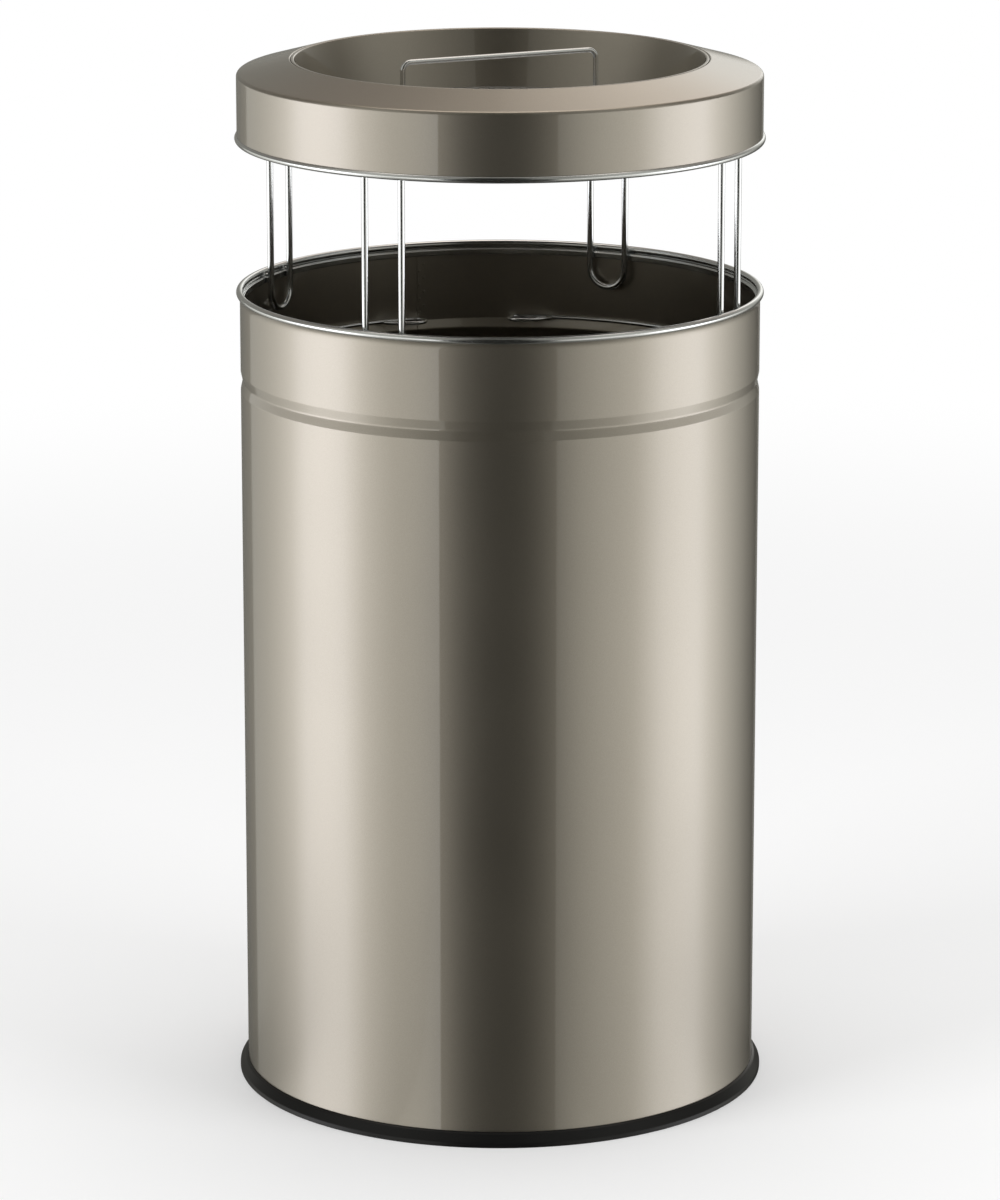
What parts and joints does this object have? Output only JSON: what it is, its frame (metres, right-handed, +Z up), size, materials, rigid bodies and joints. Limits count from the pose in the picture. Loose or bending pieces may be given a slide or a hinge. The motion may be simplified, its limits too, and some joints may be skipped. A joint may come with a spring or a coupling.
{
  "type": "ashtray trash can",
  "caption": "Round standing litter can in painted sheet metal with a raised head on wire legs that holds a sand bowl and a lift-out sieve; litter goes in through the gap under the head.",
  "frame": {"origin": "centre of the foot ring's underside, on the floor", "axes": "+Z up along the can's middle line, the front faces -Y"},
  "size_m": [0.4065, 0.4066, 0.795],
  "materials": {
    "paint": "warm grey metallic lacquer, gloss",
    "bright_ring": "bright polished rolled ring",
    "wire": "bright plated wire",
    "galvanised": "plain zinc-plated sheet",
    "weld": "dull weld metal",
    "black_plastic": "moulded, semi-matt"
  },
  "bodies": {
    "can": {"can_shell": "paint", "seam_lap": "paint", "can_floor": "galvanised", "foot_ring": "black_plastic", "rim_ring": "bright_ring"},
    "bag_ring": {"bag_ring": "wire"},
    "head": {"head_cover": "paint", "head_ring": "bright_ring", "carrier_plate": "galvanised", "leg_front_left": "wire", "leg_front_right": "wire", "leg_back_right": "wire", "leg_back_left": "wire", "rest_studs": "wire", "leg_welds": "weld"},
    "bowl": {"sand_bowl": "paint"},
    "sieve": {"sieve_plate": "galvanised", "sieve_handle": "wire", "handle_welds": "weld"}
  },
  "joints": [
    {"name": "head_lift", "type": "slide", "parent": "can", "child": "head", "axis": [0, 0, 1], "range_m": [0, 0.06]},
    {"name": "bag_ring_lift", "type": "slide", "parent": "can", "child": "bag_ring", "axis": [0, 0, 1], "range_m": [0, 0.02]},
    {"name": "bowl_lift", "type": "slide", "parent": "head", "child": "bowl", "axis": [0, 0, 1], "range_m": [0, 0.08]},
    {"name": "sieve_lift", "type": "slide", "parent": "bowl", "child": "sieve", "axis": [0, 0, 1], "range_m": [0, 0.06]}
  ]
}
